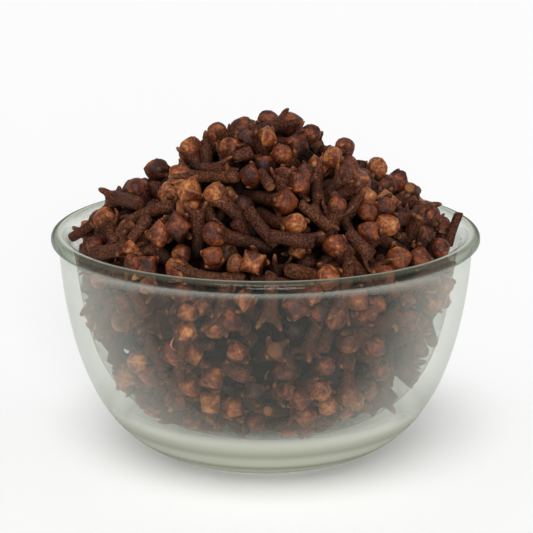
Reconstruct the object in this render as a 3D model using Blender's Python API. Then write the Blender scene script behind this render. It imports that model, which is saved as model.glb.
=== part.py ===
"""A small clear glass bowl with a rolled rim, heaped with whole cloves.

Two solids, in metres, +Z up, with the origin in the middle of the foot's underside:
  glass_bowl   one turned wall: foot, side, rolled rim and inside
  clove_heap   the cloves as one solid, from the bowl's floor out to their uneven mound
"""

import math

import bmesh
import bpy
import numpy as np
from mathutils import Vector, geometry, noise

MM = 0.001

# ---- driving dimensions -------------------------------------------------------------
RIM_RADIUS = 46.0 * MM  # the widest point, on the rolled rim
BOWL_HEIGHT = 48.7 * MM
FOOT_RADIUS = 21.0 * MM
FLOOR_HEIGHT = 5.0 * MM  # of the inside, above the table
MOUND_HEIGHT = 25.0 * MM  # of the heap's middle, above the rim
MOUND_SLOPE = math.radians(38.0)  # of its flanks, well away from the crest

# ---- the glass, worked out from those ---------------------------------------------------
NECK_RADIUS = 0.965 * RIM_RADIUS  # the side, just under the roll
ROLL_HEIGHT = 2.6 * MM  # the roll, from its lower edge to its top
LIP_RADIUS = RIM_RADIUS - 3.5 * MM  # the roll's inner edge
INNER_NECK_RADIUS = NECK_RADIUS - 3.0 * MM
FOOT_STEP = 0.9 * MM  # how far the foot stands below the side
RECESS_RADIUS = 0.78 * FOOT_RADIUS  # the shallow dish under the foot
RECESS_DEPTH = 1.1 * MM

# ---- the cloves ---------------------------------------------------------------------------
WALL_GAP = 0.4 * MM  # between the cloves and the glass
HEAP_EDGE_DROP = 2.0 * MM  # the heap meets the glass this far below the rim
CREST_ROUNDING = 12.0 * MM  # how blunt the mound's middle is
EDGE_EASING = 10  # the higher, the nearer to the glass the mound turns down to its edge
CLOVE_PITCH = 8.0 * MM  # from one clove's bump to the next
BUMP_HEIGHT = 2.0 * MM  # bumps on the open mound, up and down
DENT_DEPTH = 0.8 * MM  # dents where the cloves lie against the glass

# ---- how finely round things are divided ----------------------------------------------
TURN_STEPS = 64
SIDE_STEPS = 11
ROLL_STEPS = 4
DISH_STEPS = 5
MOUND_STEPS = 24
HEAP_SUBDIVISIONS = 5  # of an icosphere, whose triangles end up about 3 mm long
MERGE = 0.001 * MM


def clear_scene():
    for old in list(bpy.data.objects):
        bpy.data.objects.remove(old, do_unlink=True)


def material(name, colour, roughness, transmission=0.0):
    made = bpy.data.materials.new(name)
    made.use_nodes = True
    shader = made.node_tree.nodes["Principled BSDF"]
    shader.inputs["Base Color"].default_value = (*colour, 1.0)
    shader.inputs["Roughness"].default_value = roughness
    shader.inputs["Metallic"].default_value = 0.0
    shader.inputs["Transmission Weight"].default_value = transmission
    return made


def curve_through(start, start_handle, end_handle, end, steps):
    """Points of one Bezier curve in the (radius, height) plane, both ends included."""
    corners = [Vector((r, z, 0.0)) for r, z in (start, start_handle, end_handle, end)]
    return [(p.x, p.y) for p in geometry.interpolate_bezier(*corners, steps)]


def outer_side():
    """The outside of the wall, from the foot's edge up to the roll."""
    return curve_through(
        (FOOT_RADIUS, FOOT_STEP),
        (0.825 * RIM_RADIUS, 0.055 * RIM_RADIUS),
        (0.948 * RIM_RADIUS, 0.575 * RIM_RADIUS),
        (NECK_RADIUS, BOWL_HEIGHT - ROLL_HEIGHT),
        SIDE_STEPS,
    )


def inner_side():
    """The inside of the wall, from the middle of the floor up to the lip."""
    return curve_through(
        (0.0, FLOOR_HEIGHT),
        (0.93 * INNER_NECK_RADIUS, FLOOR_HEIGHT),
        (0.925 * INNER_NECK_RADIUS, 0.47 * BOWL_HEIGHT),
        (INNER_NECK_RADIUS, BOWL_HEIGHT - ROLL_HEIGHT),
        SIDE_STEPS,
    )


def roll_outline():
    """The rolled rim, from under its outer edge, over its top, to its inner edge."""
    under = BOWL_HEIGHT - ROLL_HEIGHT
    equator = BOWL_HEIGHT - 0.55 * ROLL_HEIGHT
    crown_radius = 0.5 * (RIM_RADIUS + LIP_RADIUS)
    swell = curve_through(
        (NECK_RADIUS, under),
        (RIM_RADIUS - 0.3 * MM, under),
        (RIM_RADIUS, equator - 0.6 * MM),
        (RIM_RADIUS, equator),
        ROLL_STEPS,
    )
    shoulder = curve_through(
        (RIM_RADIUS, equator),
        (RIM_RADIUS, BOWL_HEIGHT - 0.3 * MM),
        (crown_radius + 0.9 * MM, BOWL_HEIGHT),
        (crown_radius, BOWL_HEIGHT),
        ROLL_STEPS,
    )
    lip = curve_through(
        (crown_radius, BOWL_HEIGHT),
        (crown_radius - 0.9 * MM, BOWL_HEIGHT),
        (LIP_RADIUS, BOWL_HEIGHT - 0.5 * MM),
        (INNER_NECK_RADIUS, under),
        ROLL_STEPS,
    )
    return swell[1:] + shoulder[1:] + lip[1:-1]


def bowl_outline():
    """The glass's cut face, from the axis under the foot, round the rim, to the floor."""
    dish = curve_through(
        (0.0, RECESS_DEPTH),
        (0.5 * RECESS_RADIUS, RECESS_DEPTH),
        (0.85 * RECESS_RADIUS, 0.7 * RECESS_DEPTH),
        (RECESS_RADIUS, 0.0),
        DISH_STEPS,
    )
    foot = [(FOOT_RADIUS - 0.4 * MM, 0.0)]
    return dish + foot + outer_side() + roll_outline() + inner_side()[::-1]


def mound_height_at(radius):
    """Height of the heap's open face: a cone with a blunt crest, down to its edge."""
    top = BOWL_HEIGHT + MOUND_HEIGHT
    run = radius * math.tan(MOUND_SLOPE)
    return top + CREST_ROUNDING - math.hypot(run, CREST_ROUNDING)


def heap_outline():
    """The heap's cut face, from the axis on the floor, up the glass, to the crest."""
    edge_height = BOWL_HEIGHT - HEAP_EDGE_DROP
    edge_radius = INNER_NECK_RADIUS - WALL_GAP
    against_glass = [
        (max(radius - WALL_GAP, 0.0), height + WALL_GAP)
        for radius, height in inner_side()
        if height + WALL_GAP < edge_height
    ]
    surplus = mound_height_at(edge_radius) - edge_height
    open_face = []
    for step in range(MOUND_STEPS + 1):
        share = 1.0 - step / MOUND_STEPS
        radius = edge_radius * share
        # near the glass the slope is eased so that it ends at the edge height
        open_face.append((radius, mound_height_at(radius) - surplus * share**EDGE_EASING))
    return against_glass + open_face


def add_object(name, shape, finish):
    """Puts a finished bmesh into the scene as one smooth-shaded object."""
    bmesh.ops.recalc_face_normals(shape, faces=shape.faces)
    mesh = bpy.data.meshes.new(name)
    shape.to_mesh(mesh)
    shape.free()
    mesh.shade_smooth()
    mesh.materials.append(finish)
    bpy.context.scene.collection.objects.link(bpy.data.objects.new(name, mesh))


def make_bowl(finish):
    """Turns the glass's cut face about +Z."""
    shape = bmesh.new()
    corners = [shape.verts.new((radius, 0.0, z)) for radius, z in bowl_outline()]
    edges = [shape.edges.new(pair) for pair in zip(corners, corners[1:])]
    bmesh.ops.spin(
        shape,
        geom=corners + edges,
        cent=(0.0, 0.0, 0.0),
        axis=(0.0, 0.0, 1.0),
        angle=math.tau,
        steps=TURN_STEPS,
        use_merge=True,
    )
    bmesh.ops.remove_doubles(shape, verts=shape.verts, dist=MERGE)
    add_object("glass_bowl", shape, finish)


def lumpiness(point):
    """From 0 in a hollow between cloves to 1 on a clove, at a point of the heap."""
    spot = point / CLOVE_PITCH
    nearest = noise.voronoi(spot, distance_metric="DISTANCE")[0][0]
    return max(0.0, 1.0 - 1.7 * nearest**2)


def make_heap(finish):
    """Blows an icosphere up to the heap's outline, then gives it its cloves' bumps."""
    middle = 0.5 * BOWL_HEIGHT
    outline = heap_outline()
    turns = [math.atan2(height - middle, radius) for radius, height in outline]
    reaches = [math.hypot(radius, height - middle) for radius, height in outline]
    edge_height = BOWL_HEIGHT - HEAP_EDGE_DROP
    shape = bmesh.new()
    bmesh.ops.create_icosphere(shape, subdivisions=HEAP_SUBDIVISIONS, radius=1.0)
    for vertex in shape.verts:
        way = vertex.co.normalized()
        turn = math.atan2(way.z, math.hypot(way.x, way.y))
        reach = float(np.interp(turn, turns, reaches))
        point = way * reach + Vector((0.0, 0.0, middle))
        lump = lumpiness(point)
        if point.z > edge_height:
            # up and down in the open, and fading out towards the glass
            radius = math.hypot(point.x, point.y)
            room = min(1.0, (INNER_NECK_RADIUS - WALL_GAP - radius) / CLOVE_PITCH)
            shift = (2.0 * lump - 1.0) * BUMP_HEIGHT * max(0.0, room)
        else:
            shift = (lump - 1.0) * DENT_DEPTH
        vertex.co = point + way * shift
    add_object("clove_heap", shape, finish)


def main():
    clear_scene()
    glass = material("clear_glass", (0.78, 0.82, 0.77), 0.05, transmission=1.0)
    clove = material("dried_clove", (0.11, 0.045, 0.022), 0.75)
    make_bowl(glass)
    make_heap(clove)


main()
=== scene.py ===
"""A small clear glass bowl with a rolled rim, heaped with dried whole cloves.

The glass is turned from its cut face. The cloves are made one by one from a bud, a calyx
with four sepals and a stem, piled up so that they hardly overlap, and joined by kind.
"""

import math

import bmesh
import bpy
import numpy as np
from mathutils import Euler, Matrix, Vector, geometry, noise


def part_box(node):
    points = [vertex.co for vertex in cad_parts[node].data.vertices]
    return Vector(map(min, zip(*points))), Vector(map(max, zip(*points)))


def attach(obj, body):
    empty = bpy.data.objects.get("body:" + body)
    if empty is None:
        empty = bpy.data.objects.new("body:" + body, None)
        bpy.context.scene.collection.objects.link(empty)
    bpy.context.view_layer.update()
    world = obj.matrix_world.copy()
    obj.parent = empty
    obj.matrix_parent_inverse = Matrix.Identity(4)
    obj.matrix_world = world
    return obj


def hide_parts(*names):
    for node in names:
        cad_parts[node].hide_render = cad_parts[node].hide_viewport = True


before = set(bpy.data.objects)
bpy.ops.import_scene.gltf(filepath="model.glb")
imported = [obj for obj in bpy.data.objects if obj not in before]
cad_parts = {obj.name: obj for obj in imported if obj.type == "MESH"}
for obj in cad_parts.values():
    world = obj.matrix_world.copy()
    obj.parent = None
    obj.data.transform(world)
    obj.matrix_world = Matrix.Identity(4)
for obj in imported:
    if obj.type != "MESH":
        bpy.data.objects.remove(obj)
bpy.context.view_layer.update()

MM = 0.001
SEED = 11

# ---- the glass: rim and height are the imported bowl's, the rest is as in the CAD ----
bowl_low, bowl_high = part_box("glass_bowl")
RIM_RADIUS = 0.5 * (bowl_high.x - bowl_low.x)
BOWL_HEIGHT = bowl_high.z
FOOT_RADIUS = 21.0 * MM
FOOT_STEP = 0.9 * MM
FLOOR_HEIGHT = 5.0 * MM
NECK_RADIUS = 0.965 * RIM_RADIUS
ROLL_HEIGHT = 2.6 * MM
LIP_RADIUS = RIM_RADIUS - 3.5 * MM
INNER_NECK_RADIUS = NECK_RADIUS - 3.0 * MM
RECESS_RADIUS = 0.78 * FOOT_RADIUS
RECESS_DEPTH = 1.1 * MM
CROWN_RADIUS = 0.5 * (RIM_RADIUS + LIP_RADIUS)  # of the roll's highest line
EQUATOR = BOWL_HEIGHT - 0.55 * ROLL_HEIGHT  # the height at which the roll is widest
ROLL_FROM = BOWL_HEIGHT - 1.05 * ROLL_HEIGHT  # above this the glass counts as the roll,
CROWN_FROM = BOWL_HEIGHT - 0.2 * ROLL_HEIGHT  # and above this as outer skin on both sides
MILKY_TOP, MILKY_FADE = 14.9 * MM, 4.0 * MM  # the white base, painted light for what the thick glass lets through: where it starts, down to full
FOOT_WAVES = ((9.4 * MM, 0.9 * MM, 0.28), (4.8 * MM, 0.5 * MM, 0.4))  # height, width, depth
TURN_STEPS, SIDE_STEPS, ROLL_STEPS, DISH_STEPS = 160, 28, 8, 9
MERGE = 0.002 * MM

# ---- the heap ----
MOUND_HEIGHT = 25.6 * MM
MOUND_SLOPE = math.radians(38.0)
CREST_ROUNDING = 12.0 * MM
EDGE_EASING = 10
HEAP_EDGE_DROP = 2.0 * MM
SHELL_DEPTH = 10.5 * MM  # cloves lie this deep round a solid core
CORE_INSET = 8.5 * MM
CORE_SUBDIVISIONS = 6
CORE_PITCH = 4.5 * MM  # from one of its lumps to the next
CORE_BUMP_MM, CORE_DENT_MM = 1.2, 3.4
SHADE_START = 1.8 * MM  # from this deep on, painted shade darkens the cloves,
SHADE_END = 6.5 * MM  # until it is full here
WALL_REACH = 0.3 * MM  # how far the cloves reach into the wall, so that no gap shows
OUTLINE_STEPS = 60


def linear(hex_colour):
    """An sRGB hex colour as the linear RGBA that Blender's nodes take."""
    channels = [int(hex_colour[i : i + 2], 16) / 255 for i in (1, 3, 5)]
    low = [c / 12.92 if c <= 0.04045 else ((c + 0.055) / 1.055) ** 2.4 for c in channels]
    return (*low, 1.0)


def add_node(material, kind, settings=None, links=None):
    """Adds a shader node: settings are attributes or input values, links feed its inputs.

    What feeds an input is a socket, or a node, which stands for its first output.
    """
    node = material.node_tree.nodes.new("ShaderNode" + kind)
    for key, value in (settings or {}).items():
        if isinstance(key, str) and hasattr(node, key):
            setattr(node, key, value)
        else:
            node.inputs[key].default_value = value
    for key, source in (links or {}).items():
        socket = source if isinstance(source, bpy.types.NodeSocket) else source.outputs[0]
        material.node_tree.links.new(socket, node.inputs[key])
    return node


def new_material(name):
    """A material with no nodes yet."""
    material = bpy.data.materials.new(name)
    material.use_nodes = True
    material.node_tree.nodes.clear()
    return material


def grey(value):
    """A linear grey as the RGBA that Blender's nodes take."""
    return (value, value, value, 1.0)


def set_ramp(node, *stops):
    """Puts these (place, colour) stops on a colour ramp."""
    elements = node.color_ramp.elements
    while len(elements) > 1:
        elements.remove(elements[-1])
    elements[0].position = stops[0][0]
    elements[0].color = stops[0][1]
    for place, colour in stops[1:]:
        elements.new(place).color = colour


# ---- shapes of the glass ----


def curve_through(start, start_handle, end_handle, end, steps):
    """Points of one Bezier curve in the (radius, height) plane, both ends included."""
    corners = [Vector((r, z, 0.0)) for r, z in (start, start_handle, end_handle, end)]
    return [(p.x, p.y) for p in geometry.interpolate_bezier(*corners, steps)]


def outer_side():
    """The outside of the wall, from the foot's edge up to the roll."""
    return curve_through(
        (FOOT_RADIUS, FOOT_STEP), (0.825 * RIM_RADIUS, 0.055 * RIM_RADIUS),
        (0.948 * RIM_RADIUS, 0.575 * RIM_RADIUS), (NECK_RADIUS, BOWL_HEIGHT - ROLL_HEIGHT),
        SIDE_STEPS,
    )


def inner_side(steps):
    """The inside of the wall, from the middle of the floor up to the lip."""
    return curve_through(
        (0.0, FLOOR_HEIGHT), (0.93 * INNER_NECK_RADIUS, FLOOR_HEIGHT),
        (0.925 * INNER_NECK_RADIUS, 0.47 * BOWL_HEIGHT),
        (INNER_NECK_RADIUS, BOWL_HEIGHT - ROLL_HEIGHT), steps,
    )


def roll_outline():
    """The rolled rim, from under its outer edge, over its top, to its inner edge."""
    under = BOWL_HEIGHT - ROLL_HEIGHT
    swell = curve_through(
        (NECK_RADIUS, under), (RIM_RADIUS - 0.3 * MM, under), (RIM_RADIUS, EQUATOR - 0.6 * MM),
        (RIM_RADIUS, EQUATOR), ROLL_STEPS,
    )
    shoulder = curve_through(
        (RIM_RADIUS, EQUATOR), (RIM_RADIUS, BOWL_HEIGHT - 0.3 * MM),
        (CROWN_RADIUS + 0.9 * MM, BOWL_HEIGHT), (CROWN_RADIUS, BOWL_HEIGHT), ROLL_STEPS,
    )
    lip = curve_through(
        (CROWN_RADIUS, BOWL_HEIGHT), (CROWN_RADIUS - 0.9 * MM, BOWL_HEIGHT),
        (LIP_RADIUS, BOWL_HEIGHT - 0.5 * MM), (INNER_NECK_RADIUS, under), ROLL_STEPS,
    )
    return swell[1:] + shoulder[1:] + lip[1:-1]


def bowl_outline():
    """The glass's cut face, from the axis under the foot, round the rim, to the floor."""
    dish = curve_through(
        (0.0, RECESS_DEPTH), (0.5 * RECESS_RADIUS, RECESS_DEPTH),
        (0.85 * RECESS_RADIUS, 0.7 * RECESS_DEPTH), (RECESS_RADIUS, 0.0), DISH_STEPS,
    )
    foot = [
        (FOOT_RADIUS - 0.6 * MM, 0.0), (FOOT_RADIUS - 0.2 * MM, 0.15 * MM),
        (FOOT_RADIUS - 0.05 * MM, 0.5 * MM),
    ]
    return dish + foot + outer_side() + roll_outline() + inner_side(SIDE_STEPS)[::-1]


def mound_height_at(radius):
    """Height of the heap's open face: a cone with a blunt crest."""
    top = BOWL_HEIGHT + MOUND_HEIGHT
    run = radius * np.tan(MOUND_SLOPE)
    return top + CREST_ROUNDING - np.hypot(run, CREST_ROUNDING)


def heap_outline():
    """The heap's cut face, from the axis on the floor, up the glass, to the crest."""
    edge_height = BOWL_HEIGHT - HEAP_EDGE_DROP
    against_glass = [(r, z) for r, z in inner_side(OUTLINE_STEPS) if z < edge_height]
    edge_radius = against_glass[-1][0]
    surplus = mound_height_at(edge_radius) - edge_height
    shares = np.linspace(1.0, 0.0, OUTLINE_STEPS)
    open_face = [
        (edge_radius * share, mound_height_at(edge_radius * share) - surplus * share**EDGE_EASING)
        for share in shares
    ]
    return np.array(against_glass + open_face[1:])


# ---- the pile ----

TINY = 1e-9  # keeps divisions from failing
STAND_OUT_SHARE = 0.3  # this many may stand out of the open face,
STAND_OUT_MM = 2.5  # by up to so much
HELD_STAND_OUT = 3.0 * MM  # and the ones with a set place by this
OPEN_FROM = BOWL_HEIGHT - 1.0 * MM  # the open face starts here
HOLD_PULL = 0.3  # how strongly the ones with a set place are drawn back to it each round
SHELL_MARGIN = 1.5 * MM  # no clove's middle is nearer to either side of the shell
SCATTER_LOW = (-45 * MM, -45 * MM, 4 * MM)  # a box round the heap
SCATTER_HIGH = (45 * MM, 45 * MM, 75 * MM)
NEIGHBOUR_MARGIN = 1.0 * MM
NEIGHBOUR_ROUNDS = 6  # pairs that may touch are looked for again after so many
PUSH_SHARE = 1.4  # over one, a clove gives way by more than its average push
ROUNDS, QUICK_ROUNDS = 320, 60
SETTLING = 0.02 * MM  # how far the open face sinks in a round


class DepthMap:
    """How deep a point lies in the heap, and which way is in, read off a grid."""

    STEP = 0.5 * MM
    SIZE = (110, 180)
    LOW = -2.0 * MM

    def __init__(self, outline):
        self.low = np.array([self.LOW, self.LOW])
        r = self.low[0] + self.STEP * np.arange(self.SIZE[0])
        z = self.low[1] + self.STEP * np.arange(self.SIZE[1])
        grid = np.stack(np.meshgrid(r, z, indexing="ij"), -1).reshape(-1, 2)
        start, end = outline[:-1], outline[1:]
        run = end - start
        share = ((grid[:, None] - start) * run).sum(-1) / (run**2).sum(-1)
        nearest = start + np.clip(share, 0.0, 1.0)[..., None] * run
        gaps = np.linalg.norm(grid[:, None] - nearest, axis=-1)
        depth = gaps.min(1)
        turned = (start[:, 1] > grid[:, 1:2]) != (end[:, 1] > grid[:, 1:2])
        rise = np.where(run[:, 1] == 0, 1e-12, run[:, 1])
        crossing = start[:, 0] + (grid[:, 1:2] - start[:, 1]) / rise * run[:, 0]
        inside = (turned & (np.abs(grid[:, :1]) < crossing)).sum(1) % 2 == 1
        self.depth = np.where(inside, depth, -depth).reshape(self.SIZE)
        self.slope = np.stack(np.gradient(self.depth, self.STEP), -1)

    def read(self, points):
        """(depth, unit vector towards more depth) at each point."""
        radius = np.maximum(np.hypot(points[:, 0], points[:, 1]), TINY)
        at = np.stack([radius, points[:, 2]], -1)
        spot = (at - self.low) / self.STEP
        spot = np.clip(spot, 0, np.array(self.SIZE) - 1.001)
        cell = spot.astype(int)
        f = spot - cell
        i, j = cell[:, 0], cell[:, 1]

        def blend(table):
            fx = f[:, 0] if table.ndim == 2 else f[:, :1]
            fz = f[:, 1] if table.ndim == 2 else f[:, 1:]
            return (
                table[i, j] * (1 - fx) * (1 - fz)
                + table[i + 1, j] * fx * (1 - fz)
                + table[i, j + 1] * (1 - fx) * fz
                + table[i + 1, j + 1] * fx * fz
            )

        depth = blend(self.depth)
        slope = blend(self.slope)
        slope /= np.maximum(np.linalg.norm(slope, axis=1, keepdims=True), TINY)
        sideways = [slope[:, 0] * points[:, k] / radius for k in (0, 1)]
        return depth, np.stack([*sideways, slope[:, 1]], -1)


def nearest_on_segments(p1, d1, p2, d2):
    """Shares along two sets of segments, p + share * d, where they come nearest."""
    gap = p1 - p2
    a = (d1 * d1).sum(1) + 1e-18
    e = (d2 * d2).sum(1) + 1e-18
    b = (d1 * d2).sum(1)
    c = (d1 * gap).sum(1)
    f = (d2 * gap).sum(1)
    denominator = a * e - b * b
    s = np.where(denominator > TINY * a * e, (b * f - c * e) / denominator, 0.5)
    s = np.clip(s, 0.0, 1.0)
    t = np.clip((b * s + f) / e, 0.0, 1.0)
    s = np.clip((b * t - c) / a, 0.0, 1.0)
    return s, t


class Pile:
    """Cloves as stiff rods with a ball for a head, pushed about until they hardly overlap.

    A rod runs from its tail to its head, and the bud's ball is centred on the head.
    """

    def __init__(self, rng, lengths, stem_radii, head_radii, depth_map):
        count = len(lengths)
        self.rng = rng
        self.length = lengths
        self.stem = stem_radii
        self.ball = head_radii
        self.map = depth_map
        self.middle = self.scatter(count)
        self.axis = rng.normal(size=(count, 3))
        self.axis /= np.linalg.norm(self.axis, axis=1, keepdims=True)
        # how far each may stand out of the open face
        chosen = rng.random(count) < STAND_OUT_SHARE
        self.stand_out = np.where(chosen, rng.random(count) * STAND_OUT_MM, 0.0) * MM

    def hold(self, which, spots):
        """Ties these cloves to their places: spots holds a tail and a head for each."""
        self.held = which
        self.home = spots.mean(1)
        self.home_axis = spots[:, 1] - spots[:, 0]
        self.home_axis /= np.linalg.norm(self.home_axis, axis=1, keepdims=True)
        self.middle[which] = self.home
        self.axis[which] = self.home_axis
        self.stand_out[which] = HELD_STAND_OUT

    def scatter(self, count):
        """Starting places, evenly spread through the shell."""
        low, high = np.array(SCATTER_LOW), np.array(SCATTER_HIGH)
        found = np.zeros((0, 3))
        while len(found) < count:
            tries = low + (high - low) * self.rng.random((count * 4, 3))
            depth, _ = self.map.read(tries)
            keep = (depth > SHELL_MARGIN) & (depth < SHELL_DEPTH - SHELL_MARGIN)
            found = np.concatenate([found, tries[keep]])
        return found[:count]

    def neighbours(self):
        """The pairs that lie near enough to touch."""
        reach = 0.5 * self.length + self.ball + NEIGHBOUR_MARGIN
        gap = np.linalg.norm(self.middle[:, None] - self.middle[None], axis=-1)
        return np.nonzero(np.triu(gap < reach[:, None] + reach[None], 1))

    def relax(self, rounds, pull):
        """Pushes apart for some rounds, while the held ones are drawn back to their places."""
        for turn in range(rounds):
            if turn % NEIGHBOUR_ROUNDS == 0:
                first, second = self.neighbours()
            self.push_apart(first, second, pull)
            self.middle[self.held] += HOLD_PULL * (self.home - self.middle[self.held])
            self.axis[self.held] += HOLD_PULL * (self.home_axis - self.axis[self.held])
            self.axis /= np.linalg.norm(self.axis, axis=1, keepdims=True)

    def push_apart(self, first, second, pull):
        """One round: every touching pair and every wall gives way a little."""
        count = len(self.length)
        half = 0.5 * self.length[:, None] * self.axis
        tail, head = self.middle - half, self.middle + half
        reach = 2.0 * half
        inertia = self.length**2 / 10.0 + self.stem**2
        owners, levers, pushes = [], [], []

        def contact(a, b, point_a, point_b, least):
            gap = point_a - point_b
            distance = np.linalg.norm(gap, axis=1)
            near = distance < least
            a, b = a[near], b[near]
            way = gap[near] / np.maximum(distance[near], TINY)[:, None]
            lever_a = point_a[near] - self.middle[a]
            lever_b = point_b[near] - self.middle[b]
            ease = 2.0 + (np.cross(lever_a, way) ** 2).sum(1) / inertia[a]
            ease += (np.cross(lever_b, way) ** 2).sum(1) / inertia[b]
            push = ((least - distance)[near] / ease)[:, None] * way
            owners.extend([a, b])
            levers.extend([lever_a, lever_b])
            pushes.extend([push, -push])

        s, t = nearest_on_segments(tail[first], reach[first], tail[second], reach[second])
        on_first = tail[first] + s[:, None] * reach[first]
        on_second = tail[second] + t[:, None] * reach[second]
        contact(first, second, on_first, on_second, self.stem[first] + self.stem[second])
        for a, b in ((first, second), (second, first)):
            share = ((head[a] - tail[b]) * reach[b]).sum(1) / ((reach[b] ** 2).sum(1) + 1e-18)
            on_rod = tail[b] + np.clip(share, 0.0, 1.0)[:, None] * reach[b]
            contact(a, b, head[a], on_rod, self.ball[a] + self.stem[b])
        contact(first, second, head[first], head[second], self.ball[first] + self.ball[second])

        for point, radius in ((tail, self.stem), (self.middle, self.stem), (head, self.ball)):
            depth, inward = self.map.read(point)
            open_air = point[:, 2] > OPEN_FROM
            allowed = np.where(open_air, self.stand_out, WALL_REACH)
            missing = radius - allowed - depth
            out = missing > 0
            lever = (point - self.middle)[out]
            ease = 1.0 + (np.cross(lever, inward[out]) ** 2).sum(1) / inertia[out]
            owners.append(np.nonzero(out)[0])
            levers.append(lever)
            pushes.append((missing[out] / ease)[:, None] * inward[out])

        owner = np.concatenate(owners)
        push = np.concatenate(pushes)
        twist = np.cross(np.concatenate(levers), push) / inertia[owner][:, None]
        touches = np.bincount(owner, minlength=count)
        weight = PUSH_SHARE / np.maximum(touches, PUSH_SHARE)
        for k in range(3):
            self.middle[:, k] += weight * np.bincount(owner, push[:, k], count)
        turn = [weight * np.bincount(owner, twist[:, k], count) for k in range(3)]
        self.axis += np.cross(np.stack(turn, -1), self.axis)
        self.axis /= np.linalg.norm(self.axis, axis=1, keepdims=True)

        depth, inward = self.map.read(self.middle)
        too_deep = np.maximum(depth - (SHELL_DEPTH - SHELL_MARGIN), 0.0)
        open_face = self.middle[:, 2] > BOWL_HEIGHT
        self.middle += (pull * open_face - 0.5 * too_deep)[:, None] * inward


# ---- one clove ----

SIDES = 8  # of a stem's cage, which the Subdivision modifier rounds off
FILL_OUT = 1.07  # a cage is this much bigger, because that modifier draws it in,
BUD_FILL_OUT = 1.13  # and a bud's by this
CALYX_LENGTH = 2.4 * MM
LEAN = 0.16  # radians by which cut ends and buds are out of true
BUD_UNEVENNESS = 0.07
BEND = 0.075  # of a stem, as a share of its length
WRINKLE_PITCH, WRINKLE_MM = 2.0 * MM, 0.15
THREAD_SHARE = 0.3  # of the scraps
THREAD_WIDTH, FLAKE_DEPTH = 0.34 * MM, 0.42 * MM
WHOLE_SHARE = 0.94  # of the sepals, on a clove, and
STEM_WHOLE_SHARE = 0.2  # on a stem that has lost its bud
SEPAL_SPREADS = {  # from upright to wide open
    "round_bud_cloves": (0.5, 1.2),
    "square_bud_cloves": (0.7, 1.6),
    "pointed_bud_cloves": (0.4, 1.0),
    "open_cloves": (0.8, 1.7),
    "bare_stems": (0.3, 0.5),
}
MARKS = ("tone", "cut_end", "tip", "seam", "shade")  # what the materials read off each vertex


def blank_clove():
    """An empty bmesh with a layer for every mark and one for the folds' sharpness."""
    shape = bmesh.new()
    for name in MARKS:
        shape.verts.layers.float.new(name)
    shape.edges.layers.float.new("crease_edge")
    return shape


def set_mark(shape, name, vertices, value):
    """Gives these vertices one value of a mark."""
    layer = shape.verts.layers.float[name]
    for vertex in vertices:
        vertex[layer] = value


def grow_ring(shape, edges, height, radius):
    """Extrudes a ring of edges to this height and radius, and returns the new ring."""
    grown = bmesh.ops.extrude_edge_only(shape, edges=edges)["geom"]
    vertices = [g for g in grown if isinstance(g, bmesh.types.BMVert)]
    size = radius / math.hypot(vertices[0].co.x, vertices[0].co.y)
    bmesh.ops.scale(shape, verts=vertices, vec=(size, size, 1.0))
    bmesh.ops.translate(shape, verts=vertices, vec=(0.0, 0.0, height - vertices[0].co.z))
    return [g for g in grown if isinstance(g, bmesh.types.BMEdge)]


def grow_sepal(shape, face, outwards, up, tilt, width, thinness):
    """Extrudes a face away from the axis and up, tips it upwards and narrows it."""
    face = bmesh.ops.extrude_discrete_faces(shape, faces=[face])["faces"][0]
    centre = face.calc_center_median()
    radial = Vector((centre.x, centre.y, 0.0)).normalized()
    across = radial.cross(Vector((0.0, 0.0, 1.0)))
    turned = Matrix.Rotation(tilt, 3, across)
    bmesh.ops.rotate(shape, verts=face.verts, cent=centre, matrix=turned)
    for vertex in face.verts:
        offset = vertex.co - centre
        sideways = across * offset.dot(across)
        vertex.co = centre + sideways * width + (offset - sideways) * thinness
    bmesh.ops.translate(shape, verts=face.verts, vec=radial * outwards + Vector((0, 0, up)))
    return face


def make_cut_end(rng, shape, stem_radius):
    """The bottom of a stem: a slanting disc with a sunk middle. Returns its outer edges."""
    thick = stem_radius * FILL_OUT
    bmesh.ops.create_circle(shape, cap_ends=True, segments=SIDES, radius=0.86 * thick)
    cap = shape.faces[:][0]
    ring = list(cap.edges)
    bmesh.ops.inset_region(shape, faces=[cap], thickness=0.42 * thick, depth=0.0)
    set_mark(shape, "cut_end", cap.verts, 1.0)
    bmesh.ops.translate(shape, verts=cap.verts, vec=(0, 0, 0.3 * MM))
    every = shape.verts[:]
    slant = Euler((rng.normal(0, LEAN), rng.normal(0, LEAN), math.pi / SIDES)).to_matrix()
    bmesh.ops.rotate(shape, verts=every, cent=(0, 0, 0), matrix=slant)
    bmesh.ops.translate(shape, verts=every, vec=(0, 0, -0.8 * stem_radius))
    return ring


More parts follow.
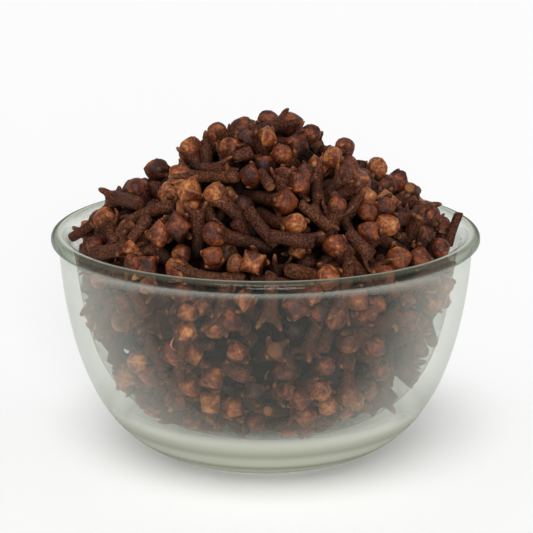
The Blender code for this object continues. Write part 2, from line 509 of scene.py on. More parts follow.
def make_stem(rng, shape, length, stem_radius, calyx_radius, sepals, spread):
    """A stem from its cut end to its calyx; sepals says which of the four haven't broken off."""
    thick = stem_radius * FILL_OUT
    neck = length - CALYX_LENGTH
    ring = make_cut_end(rng, shape, stem_radius)
    profile = [
        (-0.3 * stem_radius, thick * 0.99), (0.4 * neck, thick * rng.uniform(0.9, 1.03)),
        (0.82 * neck, thick * rng.uniform(1.0, 1.1)), (neck, thick * 1.14),
        (length - 0.5 * MM, calyx_radius),
    ]
    for height, radius in profile:
        before = set(shape.faces)
        ring = grow_ring(shape, ring, height, radius)
    flare = [face for face in shape.faces if face not in before]
    bmesh.ops.holes_fill(shape, edges=ring, sides=SIDES)
    flare.sort(key=lambda face: math.atan2(*face.calc_center_median().yx))
    for number, face in enumerate(flare[::2]):
        if not sepals[number]:
            continue
        out = spread * rng.uniform(0.7, 1.3)
        # its broad lower half, then its tip
        outwards, up = (0.3 + 0.55 * out) * MM, (1.25 - 0.3 * out) * MM
        face = grow_sepal(shape, face, outwards, up, 0.9 - 0.35 * out, 1.2, 0.6)
        set_mark(shape, "tip", face.verts, 0.35)
        outwards = (0.1 + 0.6 * out) * MM
        up = (1.7 - 0.45 * out) * rng.uniform(0.75, 1.15) * MM
        face = grow_sepal(shape, face, outwards, up, rng.uniform(-0.15, 0.5), 0.36, 0.6)
        set_mark(shape, "tip", face.verts, 1.0)


def settle_bud(rng, shape, vertices, height):
    """Makes a bud uneven, leans and turns it, and sets it on its stem."""
    for vertex in vertices:
        vertex.co *= 1.0 + BUD_UNEVENNESS * rng.standard_normal()
    squash = (rng.uniform(0.93, 1.07), rng.uniform(0.93, 1.07), rng.uniform(0.92, 1.08))
    bmesh.ops.scale(shape, verts=vertices, vec=squash)
    lean = Euler((rng.normal(0, LEAN), rng.normal(0, LEAN), rng.uniform(0, math.tau)))
    bmesh.ops.rotate(shape, verts=vertices, cent=(0, 0, 0), matrix=lean.to_matrix())
    bmesh.ops.translate(shape, verts=vertices, vec=(0, 0, height))
    for face in {face for vertex in vertices for face in vertex.link_faces}:
        face.material_index = 1


def make_bud(rng, shape, height, radius, squareness, point):
    """Four dried petals closed into a bud, with a fold between each two.

    With no squareness the folds hardly show on a ball; with more they are the corners of a
    box, whose top is closed like the flaps of an envelope.
    """
    size = radius * BUD_FILL_OUT
    made = bmesh.ops.create_uvsphere(shape, u_segments=8, v_segments=4, radius=size)
    vertices = made["verts"]
    folded = set()
    for vertex in vertices:
        x, y, z = vertex.co / size
        fold = round(math.atan2(y, x) / (math.pi / 4)) % 2
        if abs(z) > 0.9:
            vertex.co.z += point - 0.12 * squareness * size * z
            folded.add(vertex)
            continue
        wide = 0.97 + 0.3 * squareness if fold else 1.02 - 0.17 * squareness
        if abs(z) > 0.4:
            wide += 0.2 * squareness
            vertex.co.z *= 1.0 + 0.12 * squareness
        vertex.co.x *= wide
        vertex.co.y *= wide
        if fold:
            folded.add(vertex)
    set_mark(shape, "seam", [v for v in folded if v.co.z > -0.5 * size], 1.0)
    crease = shape.edges.layers.float["crease_edge"]
    for edge in {edge for vertex in folded for edge in vertex.link_edges}:
        if set(edge.verts) <= folded:
            edge[crease] = min(0.75, 0.15 + 0.5 * squareness)
    settle_bud(rng, shape, vertices, height)


def make_empty_cup(shape):
    """Sinks the calyx's flat top into a cup, where the bud fell out."""
    lid = max(
        (face for face in shape.faces if len(face.verts) == SIDES),
        key=lambda face: face.calc_center_median().z,
    )
    bmesh.ops.inset_region(shape, faces=[lid], thickness=0.5 * MM, depth=0.0)
    bmesh.ops.translate(shape, verts=lid.verts, vec=(0, 0, -0.7 * MM))
    set_mark(shape, "cut_end", lid.verts, 0.8)


def make_scrap(rng, shape, length):
    """A loose flake of sepal or petal, or one of the threads from inside a bud."""
    thread = rng.random() < THREAD_SHARE
    width = THREAD_WIDTH if thread else rng.uniform(1.1, 1.9) * MM
    depth = THREAD_WIDTH if thread else FLAKE_DEPTH
    made = bmesh.ops.create_cube(shape, size=1.0)
    bmesh.ops.scale(shape, verts=made["verts"], vec=(width, depth, length))
    bmesh.ops.translate(shape, verts=made["verts"], vec=(0, 0, 0.5 * length))
    long_edges = [
        edge for edge in shape.edges if abs(edge.verts[0].co.z - edge.verts[1].co.z) > 0.5 * length
    ]
    bmesh.ops.subdivide_edges(shape, edges=long_edges, cuts=4, use_grid_fill=True)
    curl = rng.uniform(0.2, 0.45) * length * rng.choice([-1.0, 1.0])
    wave = rng.uniform(0, math.tau)
    for vertex in shape.verts:
        share = vertex.co.z / length
        vertex.co.x *= 0.35 + 2.6 * share * (1.0 - share)
        vertex.co.y += curl * 4.0 * share * (1.0 - share) + 0.4 * vertex.co.x**2 / MM
        vertex.co.x += 0.12 * length * math.sin(4.0 * share + wave)
    set_mark(shape, "tip", shape.verts, 0.6)
    for face in shape.faces:
        face.material_index = 2


def make_clove(rng, kind, length, stem_radius, ball_radius):
    """One clove of a kind, standing on its cut end with its tail's middle at the origin."""
    shape = blank_clove()
    if kind == "loose_buds":
        make_bud(rng, shape, 0.0, ball_radius, rng.uniform(0, 0.6), rng.uniform(0, 0.4) * MM)
    elif kind == "dry_scraps":
        make_scrap(rng, shape, length)
    else:
        bare = kind == "bare_stems"
        calyx = stem_radius * 1.15 if bare else ball_radius * rng.uniform(0.92, 1.02)
        sepals = rng.random(4) < (STEM_WHOLE_SHARE if bare else WHOLE_SHARE)
        spread = rng.uniform(*SEPAL_SPREADS[kind])
        make_stem(rng, shape, length, stem_radius, calyx, sepals, spread)
    if kind == "round_bud_cloves":
        make_bud(rng, shape, length, ball_radius, rng.uniform(0.1, 0.6), 0.0)
    if kind == "square_bud_cloves":
        make_bud(rng, shape, length, ball_radius, rng.uniform(0.8, 1.3), 0.0)
    if kind == "pointed_bud_cloves":
        make_bud(rng, shape, length, ball_radius * 0.96, 0.6, rng.uniform(0.5, 1.1) * MM)
    if kind == "open_cloves":
        if rng.random() < 0.5:
            make_bud(rng, shape, length - 0.2 * MM, ball_radius * 0.8, 1.2, 0.0)
        else:
            make_empty_cup(shape)
    if kind == "bare_stems":
        make_empty_cup(shape)
    bmesh.ops.recalc_face_normals(shape, faces=shape.faces)

    # each is bent and wrinkled its own way
    stemless = kind in ("loose_buds", "dry_scraps")
    bend = 0.0 if stemless else abs(rng.normal(0.0, BEND)) * length
    seed = Vector(rng.uniform(-50, 50, 3))
    set_mark(shape, "tone", shape.verts, rng.random())
    for vertex in shape.verts:
        share = min(1.0, max(0.0, vertex.co.z / max(length, MM)))
        vertex.co.x += 4.0 * bend * share * (1.0 - share)
        vertex.co += noise.noise_vector(vertex.co / WRINKLE_PITCH + seed) * WRINKLE_MM * MM
    return shape


# ---- all the cloves ----

#   kind: (how many, length mm from tail to head, stem radius mm, bud radius mm)
KINDS = {
    "round_bud_cloves": (150, (10.2, 13.2), (1.3, 1.6), (2.15, 2.6)),
    "square_bud_cloves": (145, (10.2, 13.2), (1.3, 1.6), (2.1, 2.5)),
    "pointed_bud_cloves": (85, (10.2, 13.4), (1.25, 1.55), (2.0, 2.3)),
    "open_cloves": (100, (9.6, 12.8), (1.25, 1.55), (1.8, 2.1)),
    "bare_stems": (60, (5.5, 10.5), (1.1, 1.45), (1.15, 1.5)),
    "loose_buds": (60, (0.2, 0.4), (1.7, 2.1), (1.8, 2.2)),
    "dry_scraps": (110, (2.2, 4.4), (0.4, 0.55), (0.4, 0.55)),
}

# where the cloves that show most lie: tail x, y, z and head x, y, z in mm
PLACED = {
    "round_bud_cloves": [
        (1.5, -7.1, 65.5, 9.2, -6.2, 69.8), (-0.9, -8.5, 63.3, -4.5, -6.7, 71.1),
        (-5.2, -7.0, 62.3, -10.3, -4.2, 69.8), (8.5, -10.4, 61.2, 3.4, -15.5, 67.3),
        (-0.8, -10.2, 57.3, -2.8, -20.1, 64.1), (9.0, -8.5, 62.1, 16.4, -4.1, 66.6),
        (-2.4, -26.3, 53.9, -10.1, -23.7, 60.9), (-0.8, -22.0, 57.0, 5.8, -31.0, 56.8),
        (0.6, -30.4, 51.9, -9.9, -31.9, 54.8), (13.2, -28.4, 49.5, 14.3, -25.1, 58.6),
        (14.5, -21.5, 53.1, 20.2, -18.5, 59.7), (20.0, -9.1, 50.5, 24.0, -19.1, 57.2),
        (28.4, -20.9, 48.3, 20.7, -27.7, 54.1), (22.1, -17.0, 43.2, 26.5, -27.6, 48.7),
        (-22.8, -8.8, 51.7, -26.6, -9.5, 59.1), (-23.0, -15.4, 36.3, -29.0, -24.6, 34.8),
        (-12.4, -23.9, 37.8, -15.1, -35.7, 40.0), (-3.4, -32.0, 45.8, -6.8, -38.1, 39.1),
        (-25.8, -13.1, 24.3, -26.2, -25.0, 26.0), (3.7, -27.4, 23.4, 11.0, -33.3, 22.8),
        (-2.6, -19.7, 18.1, -1.9, -30.6, 15.6), (11.4, -19.6, 21.7, 12.6, -30.8, 19.1),
        (5.2, -30.7, 38.4, 10.1, -37.5, 40.5), (14.2, -22.8, 41.4, 17.9, -34.7, 42.3),
        (-16.3, -22.1, 33.7, -18.2, -32.6, 30.6),
    ],
    "square_bud_cloves": [
        (-11.2, -11.5, 59.7, -15.8, -6.2, 66.7), (-9.6, -12.9, 59.1, -6.7, -12.7, 68.2),
        (-6.1, -20.7, 64.2, -17.4, -15.0, 62.9), (3.4, -14.1, 57.7, 6.7, -23.0, 63.2),
        (-12.3, -10.8, 54.4, -15.2, -21.2, 60.8), (27.0, -18.9, 54.4, 33.8, -8.7, 53.2),
        (-19.7, -17.1, 49.1, -21.0, -27.4, 53.7), (-14.6, -18.6, 53.9, -17.5, -27.8, 55.3),
        (-21.7, -21.2, 42.6, -23.5, -30.8, 48.0), (10.2, -15.9, 56.6, 16.9, -15.3, 63.0),
        (-25.4, -14.8, 39.4, -27.8, -27.0, 39.5), (-6.2, -23.7, 27.0, -10.5, -34.8, 26.5),
        (-9.2, -21.5, 21.4, -15.4, -31.7, 23.2), (-18.6, -15.3, 23.6, -23.3, -26.8, 23.7),
        (-7.9, -21.3, 21.7, -10.9, -32.0, 19.9), (8.1, -18.8, 17.9, 8.0, -31.2, 17.4),
        (3.9, -26.8, 40.0, 6.0, -38.6, 41.7), (25.8, -12.8, 36.1, 28.8, -25.2, 35.8),
    ],
    "pointed_bud_cloves": [
        (0.4, -2.8, 61.1, 0.1, -10.7, 70.1), (15.0, -8.3, 56.9, 13.6, -12.0, 66.0),
        (-4.8, -25.5, 27.0, -5.4, -37.3, 31.9), (24.6, -15.1, 40.1, 28.2, -26.8, 40.5),
    ],
    "open_cloves": [
        (-12.1, -11.3, 60.6, -12.4, -6.1, 68.7), (2.5, -22.5, 55.2, 3.8, -20.4, 64.6),
        (9.3, -18.6, 57.6, 18.9, -18.2, 60.9), (-13.6, -27.0, 49.3, -14.0, -25.9, 58.6),
        (28.4, -14.9, 46.2, 30.5, -14.4, 55.3), (-26.0, -17.1, 57.5, -32.9, -5.1, 55.7),
        (-16.3, -28.0, 45.0, -24.4, -27.1, 51.8), (-34.9, -18.3, 47.4, -26.8, -26.5, 50.1),
        (-28.7, -18.3, 46.3, -33.3, -13.5, 53.1), (-15.4, -26.7, 40.5, -23.3, -32.1, 44.7),
        (-8.3, -27.0, 38.9, -12.1, -37.4, 41.6), (-0.5, -31.9, 36.8, -4.4, -39.3, 43.8),
        (-9.6, -31.5, 35.9, -19.6, -33.0, 34.9), (-12.1, -23.9, 31.0, -14.6, -34.7, 30.5),
        (-1.6, -30.2, 29.0, 2.2, -38.0, 33.1), (-6.3, -27.4, 21.7, -2.2, -35.7, 23.8),
        (-1.6, -27.6, 20.6, 4.3, -35.4, 23.5),
    ],
    "bare_stems": [
        (-6.0, -16.3, 67.1, -2.1, -15.0, 68.7), (-12.2, -16.7, 64.7, -6.8, -17.2, 66.5),
        (-1.1, -20.9, 64.6, 1.5, -24.9, 62.2), (7.2, -26.9, 59.5, 13.1, -30.2, 55.7),
        (1.4, -33.7, 55.0, 10.4, -33.5, 53.9), (16.7, -30.0, 54.3, 21.6, -31.9, 49.4),
        (-27.5, -24.7, 51.2, -23.1, -21.9, 57.1), (-30.8, -21.1, 50.7, -26.5, -21.9, 54.7),
        (-26.2, -29.5, 42.7, -22.9, -31.6, 37.2), (-7.7, -36.6, 29.1, -2.4, -37.0, 26.9),
        (42.7, -1.5, 51.6, 38.6, -3.0, 45.2), (-42.3, -2.0, 47.4, -35.6, -4.5, 50.6),
    ],
    "loose_buds": [
        (36.5, -14.4, 47.6, 36.5, -14.1, 47.5), (-35.3, -15.6, 48.5, -35.2, -15.4, 48.3),
        (-26.2, -28.7, 48.3, -26.2, -28.4, 48.4),
    ],
}


def pile_up(rng, depth_map):
    """Draws every clove's sizes, piles them up, and returns them with their kinds."""
    kinds, lengths, stems, buds = [], [], [], []
    placed, homes = [], []
    for kind, (count, length, stem, bud) in KINDS.items():
        spots = np.array(PLACED.get(kind, [])).reshape(-1, 2, 3) * MM
        drawn = rng.uniform(*length, count) * MM
        drawn[: len(spots)] = np.linalg.norm(spots[:, 1] - spots[:, 0], axis=1)
        placed += list(range(len(kinds), len(kinds) + len(spots)))
        homes.append(spots)
        kinds += [kind] * count
        lengths.append(drawn)
        stems.append(rng.uniform(*stem, count) * MM)
        buds.append(rng.uniform(*bud, count) * MM)
    lengths, stems, buds = (np.concatenate(x) for x in (lengths, stems, buds))
    loose = np.array([kind == "loose_buds" for kind in kinds])
    stems = np.where(loose, buds, stems)
    pile = Pile(rng, lengths, stems, buds, depth_map)
    pile.hold(np.array(placed), np.concatenate(homes))
    rounds = ROUNDS
    pile.relax(rounds, SETTLING)
    pile.relax(rounds // 4, 0.0)
    return kinds, pile


def new_object(name, shape, materials):
    """Turns a finished bmesh into an object of the scene."""
    mesh = bpy.data.meshes.new(name)
    shape.to_mesh(mesh)
    shape.free()
    mesh.shade_smooth()
    for material in materials:
        mesh.materials.append(material)
    made = bpy.data.objects.new(name, mesh)
    bpy.context.scene.collection.objects.link(made)
    return made


def add_piece(name, shape, materials, levels):
    """Makes a piece of the part, rounded off this many times and riding on its one body."""
    piece = new_object(name, shape, materials)
    if levels:
        rounding = piece.modifiers.new("rounding", "SUBSURF")
        rounding.levels = levels
        rounding.render_levels = levels
    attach(piece, "root")
    return piece


def make_cloves(rng, depth_map, materials):
    """Makes the whole pile, one object for each kind."""
    kinds, pile = pile_up(rng, depth_map)
    joined = {kind: blank_clove() for kind in KINDS}
    for number, kind in enumerate(kinds):
        length = float(pile.length[number])
        shape = make_clove(rng, kind, length, pile.stem[number], pile.ball[number])
        way = Vector(pile.axis[number])
        spin = Euler((0, 0, rng.uniform(0, math.tau))).to_quaternion()
        turn = way.to_track_quat("Z", "Y") @ spin
        tail = Vector(pile.middle[number]) - 0.5 * length * way
        place = Matrix.Translation(tail) @ turn.to_matrix().to_4x4()
        bmesh.ops.transform(shape, verts=shape.verts, matrix=place)
        one = bpy.data.meshes.new("one")
        shape.to_mesh(one)
        shape.free()
        joined[kind].from_mesh(one)
        bpy.data.meshes.remove(one)
    for kind, shape in joined.items():
        # painted shade: the deeper a vertex lies in the heap, the darker its colour is drawn
        depth, _ = depth_map.read(np.array([vertex.co for vertex in shape.verts]))
        shade = np.clip((depth - SHADE_START) / (SHADE_END - SHADE_START), 0.0, 1.0)
        layer = shape.verts.layers.float["shade"]
        for vertex, value in zip(shape.verts, shade):
            vertex[layer] = value
        add_piece(kind, shape, materials, 1)


def make_core(outline, material):
    """The solid middle of the heap, under the cloves that can be seen."""
    middle = 0.5 * BOWL_HEIGHT
    turns = np.arctan2(outline[:, 1] - middle, outline[:, 0])
    reaches = np.hypot(outline[:, 0], outline[:, 1] - middle)
    shape = bmesh.new()
    bmesh.ops.create_icosphere(shape, subdivisions=CORE_SUBDIVISIONS, radius=1.0)
    for vertex in shape.verts:
        way = vertex.co.normalized()
        turn = math.atan2(way.z, math.hypot(way.x, way.y))
        reach = float(np.interp(turn, turns, reaches)) - CORE_INSET
        point = way * reach
        near = noise.voronoi(point / CORE_PITCH, distance_metric="DISTANCE")[0][0]
        point += way * (CORE_BUMP_MM - CORE_DENT_MM * near**2) * MM
        vertex.co = point + Vector((0.0, 0.0, middle))
    return add_piece("heap_core", shape, [material], 0)


# ---- the bowl ----


def roll_turn(radius, height):
    """Where a point lies round the roll: 0 at its outermost, a quarter turn at its top."""
    return math.atan2(height - EQUATOR, radius - CROWN_RADIUS)


def painted_crown_highlight(turn):
    """A painted highlight: the thin light line along the roll's top, 1 on it, 0 off it."""
    return math.exp(-(((turn - 1.6) / 0.22) ** 2))


def edge_on_at(radius, height, outer):
    """Where the glass is seen lengthwise and so darker: 0 in the wall, up to 1."""
    if height > ROLL_FROM:
        turn = roll_turn(radius, height)
        deep = 0.08 + 0.68 * max(0.0, math.cos(turn - 0.6)) + 0.07 * math.cos(6.0 * turn)
        # no darkening under the painted highlight on the roll's top
        return deep * (1.0 - 0.9 * painted_crown_highlight(turn))
    if not outer:
        return 0.0
    return max(deep * math.exp(-(((height - z) / wide) ** 2)) for z, wide, deep in FOOT_WAVES)


def painted_light_at(radius, height, outer):
    """How white the glass looks, as painted light: 0 in the wall, 1 in the heavy bottom, some along
    the rim, with a painted highlight on the roll's top.
    """
    if height > ROLL_FROM:
        turn = roll_turn(radius, height)
        return 0.9 * painted_crown_highlight(turn) + 0.35 * math.exp(-(((turn - 0.95) / 0.4) ** 2))
    share = min(1.0, max(0.0, (MILKY_TOP - height) / MILKY_FADE))
    return share * share * (3.0 - 2.0 * share) if outer else 0.0


def outer_at(radius, height, outer):
    """1 on the bowl's outer skin, 0 on its inner one."""
    return float(outer)


def make_bowl(material):
    """Turns the glass's cut face about +Z, and marks how its glass is seen."""
    shape = bmesh.new()
    corners = [shape.verts.new((r, 0.0, z)) for r, z in bowl_outline()]
    edges = [shape.edges.new(pair) for pair in zip(corners, corners[1:])]
    bmesh.ops.spin(
        shape, geom=corners + edges, cent=(0.0, 0.0, 0.0), axis=(0.0, 0.0, 1.0), angle=math.tau,
        steps=TURN_STEPS, use_merge=True,
    )
    bmesh.ops.remove_doubles(shape, verts=shape.verts, dist=MERGE)
    bmesh.ops.recalc_face_normals(shape, faces=shape.faces)
    bowl = add_piece("bowl_glass", shape, [material], 0)
    # the thick mark holds painted light: the white base and the light lines along the roll
    for name, read_at in (("edge_on", edge_on_at), ("thick", painted_light_at), ("outer", outer_at)):
        mark = bowl.data.attributes.new(name, "FLOAT", "POINT")
        for vertex in bowl.data.vertices:
            x, y, z = vertex.co
            outer = z > CROWN_FROM or vertex.normal.z < 0.0 or vertex.normal.dot((x, y, 0.0)) > 0.0
            mark.data[vertex.index].value = read_at(math.hypot(x, y), z, outer)
    # clear glass lets the light through to what it holds, and leaves next to no shadow
    bowl.visible_shadow = False
    return bowl


# ---- materials ----


def clear_pressed_glass():
    """Soda-lime glass, pressed and fire-polished.

    It is smooth and nearly clear face on, and grey-green where it is seen edge on or
    lengthwise, with the faint milkiness that glass has from washing. Its white base and the
    light lines along its roll are painted light.
    """
    made = new_material("clear_pressed_glass")
    edge_on, thick, outer = (
        add_node(made, "Attribute", {"attribute_name": mark}).outputs["Fac"]
        for mark in ("edge_on", "thick", "outer")
    )
    facing = add_node(made, "LayerWeight", {"Blend": 0.5})
    fresnel = add_node(made, "Fresnel", {"IOR": 1.5})
    side = add_node(made, "NewGeometry")

    # the outer skin stands for the whole wall, so that the inner one draws no second edge
    path = add_node(made, "MapRange", {"To Min": 0.15, "To Max": 1.0}, {"Value": edge_on})
    whole_wall = add_node(made, "MapRange", {"To Min": 0.3, "To Max": 1.0}, {"Value": outer})
    depth = add_node(
        made, "Math", {"operation": "MULTIPLY"}, {0: facing.outputs["Facing"], 1: path}
    )
    depth_here = add_node(made, "Math", {"operation": "MULTIPLY"}, {0: depth, 1: whole_wall})
    tint = add_node(made, "ValToRGB", links={"Fac": depth_here})
    set_ramp(
        tint, (0.0, linear("#F8F9F7")), (0.2, linear("#DFE2DC")), (0.5, linear("#9AA297")),
        (1.0, linear("#6C7569")),
    )
    pass_through = add_node(made, "BsdfTransparent", links={"Color": tint})

    # the milkiness grows towards the sides and goes again at the very edge; the white in the base
    # and along the roll is painted light
    slant = add_node(made, "ValToRGB", links={"Fac": facing.outputs["Facing"]})
    set_ramp(
        slant, (0.0, grey(0.01)), (0.25, grey(0.03)), (0.4, grey(0.16)), (0.6, grey(0.3)),
        (0.9, grey(0.05)),
    )
    front_wall = add_node(
        made, "MapRange", {"To Min": 1.0, "To Max": 0.12}, {"Value": side.outputs["Backfacing"]}
    )
    skin_share = add_node(made, "Math", {"operation": "MULTIPLY"}, {0: front_wall, 1: whole_wall})
    # the thick mark adds painted light: the white base and a painted highlight along the roll's top
    with_base = add_node(
        made, "Math", {"operation": "MULTIPLY_ADD", 1: 0.9, "use_clamp": True}, {0: thick, 2: slant}
    )
    milky = add_node(made, "Math", {"operation": "MULTIPLY"}, {0: with_base, 1: skin_share})
    clear_roll = add_node(
        made, "MapRange", {"From Min": 0.4, "To Min": 1.0, "To Max": 0.3}, {"Value": edge_on}
    )
    veil = add_node(made, "Math", {"operation": "MULTIPLY"}, {0: milky, 1: clear_roll})
    base_shade = add_node(
        made, "Math", {"operation": "MULTIPLY_ADD", 1: 0.6}, {0: thick, 2: edge_on}
    )
    haze_colour = add_node(made, "ValToRGB", links={"Fac": base_shade})
    set_ramp(
        haze_colour, (0.0, linear("#E4E5D9")), (0.6, linear("#A2A496")), (1.0, linear("#6A6F58"))
    )
    haze = add_node(made, "BsdfDiffuse", links={"Color": haze_colour})
    body = add_node(made, "MixShader", links={0: veil, 1: pass_through, 2: haze})

    outside = add_node(
        made, "Math", {"operation": "SUBTRACT", 0: 1.0}, {1: side.outputs["Backfacing"]}
    )
    mirror = add_node(made, "Math", {"operation": "MULTIPLY"}, {0: fresnel, 1: outside})
    # the roll bends what it would mirror into dark streaks
    dulled = add_node(made, "MapRange", {"To Min": 1.0, "To Max": 0.3}, {"Value": edge_on})
    mirror_share = add_node(made, "Math", {"operation": "MULTIPLY"}, {0: mirror, 1: dulled})
    gloss = add_node(made, "BsdfGlossy", {"Color": linear("#D4D7D1"), "Roughness": 0.04})
    whole = add_node(made, "MixShader", links={0: mirror_share, 1: body, 2: gloss})
    add_node(made, "OutputMaterial", links={"Surface": whole})
    return made


def painted_shade_in_gaps(made, colour):
    """Painted shade: darkens a colour where the clove lies deep in the heap, between the cloves."""
    deep = add_node(made, "Attribute", {"attribute_name": "shade"}).outputs["Fac"]
    left = add_node(made, "MapRange", {"To Min": 1.0, "To Max": 0.1}, {"Value": deep})
    return add_node(made, "VectorMath", {"operation": "SCALE"}, {0: colour, "Scale": left})


def dried_clove_bark():
    """The dried stem and calyx: matt, purplish brown, grainy with oil glands, tan where cut."""
    made = new_material("dried_clove_bark")
    place = add_node(made, "TexCoord").outputs["Object"]
    tone, cut, tip = (
        add_node(made, "Attribute", {"attribute_name": mark}).outputs["Fac"]
        for mark in ("tone", "cut_end", "tip")
    )
    # the oil glands are 0.2 to 0.3 mm apart, drawn a little coarser so that they show
    glands = add_node(
        made, "TexVoronoi", {"feature": "SMOOTH_F1", "Scale": 1 / (0.33 * MM), "Smoothness": 0.4},
        {"Vector": place},
    )
    grain = add_node(
        made, "TexNoise", {"Scale": 1 / (0.5 * MM), "Detail": 3.0, "Roughness": 0.6},
        {"Vector": place},
    )
    patches = add_node(
        made, "TexNoise", {"Scale": 1 / (3.5 * MM), "Detail": 2.0, "Roughness": 0.5},
        {"Vector": place},
    )
    # high on a gland, low between them
    speckle = add_node(made, "Math", {"operation": "MULTIPLY_ADD", 1: -0.8}, {0: glands, 2: grain})
    fine = add_node(made, "MapRange", {"From Min": -0.35, "From Max": 0.55}, {"Value": speckle})
    colour = add_node(made, "ValToRGB", links={"Fac": fine})
    set_ramp(colour, (0.1, linear("#1F0F08")), (0.5, linear("#492B1E")), (1.0, linear("#7C5340")))
    cast = add_node(made, "ValToRGB", links={"Fac": tone})
    set_ramp(cast, (0.0, linear("#C4B2AE")), (0.5, linear("#E6D6CC")), (1.0, linear("#FFF2DC")))
    patch_shade = add_node(
        made, "MapRange", {"From Min": 0.3, "From Max": 0.7, "To Min": 0.7, "To Max": 1.3},
        {"Value": patches},
    )
    toned = add_node(made, "VectorMath", {"operation": "MULTIPLY"}, {0: colour, 1: cast})
    shaded = add_node(made, "VectorMath", {"operation": "SCALE"}, {0: toned, "Scale": patch_shade})
    # a pale ring round a dark middle on the cut end
    ring = add_node(made, "ValToRGB", links={"Fac": cut})
    set_ramp(ring, (0.1, grey(0.0)), (0.4, grey(0.7)), (0.8, grey(0.7)), (0.95, grey(0.0)))
    worn = add_node(made, "Math", {"operation": "POWER", 1: 3.0}, {0: tip})
    bare = add_node(
        made, "Math", {"operation": "MULTIPLY_ADD", 1: 0.6, "use_clamp": True}, {0: worn, 2: ring}
    )
    bare_here = add_node(made, "Math", {"operation": "MULTIPLY"}, {0: bare, 1: patch_shade})
    with_tan = add_node(made, "MixRGB", {2: linear("#8A5836")}, {0: bare_here, 1: shaded})
    bump = add_node(made, "Bump", {"Strength": 0.6, "Distance": 0.1 * MM}, {"Height": fine})
    # the base colour carries painted shade where the clove lies deep in the heap
    surface = add_node(
        made, "BsdfPrincipled", {"Roughness": 0.6, "IOR": 1.45, "Specular IOR Level": 0.12},
        {"Base Color": painted_shade_in_gaps(made, with_tan), "Normal": bump},
    )
    add_node(made, "OutputMaterial", links={"Surface": surface})
    return made


def dried_clove_petal():
    """The dried, unopened petals: orange brown with darker blotches, slightly waxy, paler folds."""
    made = new_material("dried_clove_petal")
    place = add_node(made, "TexCoord").outputs["Object"]
    tone, seam = (
        add_node(made, "Attribute", {"attribute_name": mark}).outputs["Fac"]
        for mark in ("tone", "seam")
    )
    wrinkles = add_node(
        made, "TexNoise",
        {"Scale": 1 / (0.6 * MM), "Detail": 4.0, "Roughness": 0.7, "Distortion": 0.4},
        {"Vector": place},
    )
    blotches = add_node(
        made, "TexNoise", {"Scale": 1 / (2.2 * MM), "Detail": 2.0, "Roughness": 0.5},
        {"Vector": place},
    )
    both = add_node(made, "Math", {"operation": "ADD"}, {0: wrinkles, 1: blotches})
    with_tone = add_node(made, "Math", {"operation": "MULTIPLY_ADD", 1: 0.3}, {0: tone, 2: both})
    spread = add_node(made, "MapRange", {"From Min": 0.82, "From Max": 1.62}, {"Value": with_tone})
    colour = add_node(made, "ValToRGB", links={"Fac": spread})
    set_ramp(
        colour, (0.15, linear("#2B1008")), (0.4, linear("#5C2914")), (0.62, linear("#834622")),
        (0.9, linear("#B87A46")),
    )
    fold = add_node(
        made, "MapRange", {"From Min": 0.75, "From Max": 1.0, "To Max": 0.5}, {"Value": seam}
    )
    some = add_node(made, "MapRange", {"From Min": 0.45, "From Max": 1.0}, {"Value": tone})
    broken_fold = add_node(made, "Math", {"operation": "MULTIPLY"}, {0: fold, 1: some})
    with_fold = add_node(made, "MixRGB", {2: linear("#B67F4C")}, {0: broken_fold, 1: colour})
    bump = add_node(made, "Bump", {"Strength": 0.8, "Distance": 0.25 * MM}, {"Height": wrinkles})
    # the base colour carries painted shade where the bud lies deep in the heap
    surface = add_node(
        made, "BsdfPrincipled", {"Roughness": 0.48, "IOR": 1.45, "Specular IOR Level": 0.3},
        {"Base Color": painted_shade_in_gaps(made, with_fold), "Normal": bump},
    )
    add_node(made, "OutputMaterial", links={"Surface": surface})
    return made


def dried_clove_chaff():
    """Flakes and threads broken off the cloves: papery, tan, darker along the edges."""
    made = new_material("dried_clove_chaff")
    place = add_node(made, "TexCoord").outputs["Object"]
    tone = add_node(made, "Attribute", {"attribute_name": "tone"}).outputs["Fac"]
    streaks = add_node(
        made, "TexNoise", {"Scale": 1 / (0.8 * MM), "Detail": 3.0}, {"Vector": place}
    )
    mixed = add_node(made, "Math", {"operation": "MULTIPLY_ADD", 1: 0.5}, {0: tone, 2: streaks})
    colour = add_node(made, "ValToRGB", links={"Fac": mixed})
    set_ramp(colour, (0.4, linear("#3E2013")), (0.7, linear("#7A4A2A")), (1.0, linear("#B0794A")))
    bump = add_node(made, "Bump", {"Strength": 0.5, "Distance": 0.1 * MM}, {"Height": streaks})
    surface = add_node(
        made, "BsdfPrincipled", {"Roughness": 0.7, "IOR": 1.45, "Specular IOR Level": 0.2},
        {"Base Color": colour, "Normal": bump},
    )
    add_node(made, "OutputMaterial", links={"Surface": surface})
    return made


def painted_shade_core():
    """Painted shade on the heap's solid middle: nearly black brown and dull."""
    made = new_material("painted_shade_core")
    place = add_node(made, "TexCoord").outputs["Object"]
    grain = add_node(made, "TexNoise", {"Scale": 1 / (1.0 * MM), "Detail": 4.0}, {"Vector": place})
    colour = add_node(made, "ValToRGB", links={"Fac": grain})
    # painted shade: near black, as the deeper cloves would look in their shade
    set_ramp(colour, (0.35, linear("#040201")), (0.7, linear("#140A06")))
    surface = add_node(
        made, "BsdfPrincipled", {"Roughness": 0.9, "Specular IOR Level": 0.05},
        {"Base Color": colour},
    )
    add_node(made, "OutputMaterial", links={"Surface": surface})
    return made


def white_sweep():
    """Matt white paper: an even, plain ground."""
    made = new_material("white_sweep")
    surface = add_node(made, "BsdfDiffuse", {"Color": linear("#FBFBFB")})
    add_node(made, "OutputMaterial", links={"Surface": surface})
    return made


# ---- stage, light and camera ----


def set_stage():
    """A wide white floor, just under the foot."""
    shape = bmesh.new()
    bmesh.ops.create_grid(shape, x_segments=1, y_segments=1, size=6.0)
    bmesh.ops.translate(shape, verts=shape.verts, vec=(0.0, 0.0, -0.05 * MM))
    new_object("floor", shape, [white_sweep()])


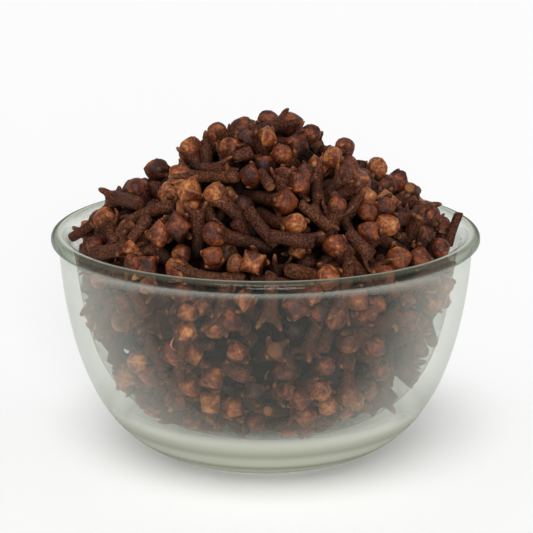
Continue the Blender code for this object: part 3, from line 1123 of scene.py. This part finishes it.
def add_lamp(name, kind, where, towards, settings):
    """Adds a lamp that shines from one place towards another."""
    data = bpy.data.lights.new(name, kind)
    for key, value in settings.items():
        setattr(data, key, value)
    lamp = bpy.data.objects.new(name, data)
    lamp.location = where
    lamp.rotation_euler = (Vector(towards) - Vector(where)).to_track_quat("-Z", "Y").to_euler()
    bpy.context.scene.collection.objects.link(lamp)
    return lamp


def set_light():
    """A white room, a broad key from above, a low fill in front and a strip behind."""
    world = bpy.data.worlds.new("white_room")
    world.use_nodes = True
    sky = world.node_tree.nodes["Background"]
    sky.inputs["Color"].default_value = (1.0, 1.0, 1.0, 1.0)
    sky.inputs["Strength"].default_value = 0.37
    bpy.context.scene.world = world
    bpy.context.scene.view_settings.view_transform = "Standard"
    bpy.context.scene.view_settings.look = "None"
    middle = (0.0, 0.0, 0.05)
    add_lamp("key", "SUN", (-0.05, -0.33, 1.0), middle, {"energy": 1.5, "angle": math.radians(34)})
    add_lamp("fill", "SUN", (0.1, -1.0, 0.35), middle, {"energy": 2.1, "angle": math.radians(30)})
    strip = add_lamp(
        "strip_behind", "AREA", (0.0, 0.9, 0.32), middle,
        {"shape": "RECTANGLE", "size": 1.4, "size_y": 0.2, "energy": 0.8},
    )
    # it only glints in the glass
    strip.visible_diffuse = False


def set_camera():
    """Stands back and looks down a little, as on a table."""
    elevation = math.radians(15.1)
    distance = 8.0 * RIM_RADIUS
    aim = Vector((0.2 * MM, 0.0, 39.7 * MM))
    data = bpy.data.cameras.new("camera")
    data.sensor_width = 36.0
    data.lens = 114.5
    data.clip_start = 0.01
    data.clip_end = 50.0
    camera = bpy.data.objects.new("camera", data)
    away = Vector((0.0, -math.cos(elevation), math.sin(elevation)))
    camera.location = aim + away * distance
    camera.rotation_euler = (-away).to_track_quat("-Z", "Y").to_euler()
    bpy.context.scene.collection.objects.link(camera)
    bpy.context.scene.camera = camera


def main():
    """Makes the cloves, their core, the bowl and the stage, the same way in every run."""
    rng = np.random.default_rng(SEED)
    noise.seed_set(SEED)
    outline = heap_outline()
    materials = [dried_clove_bark(), dried_clove_petal(), dried_clove_chaff()]
    make_cloves(rng, DepthMap(outline), materials)
    # the core's near-black colour is painted shade
    core = make_core(outline, painted_shade_core())
    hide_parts("clove_heap")
    glass = make_bowl(clear_pressed_glass())
    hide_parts("glass_bowl")
    set_stage()
    set_light()
    set_camera()


main()
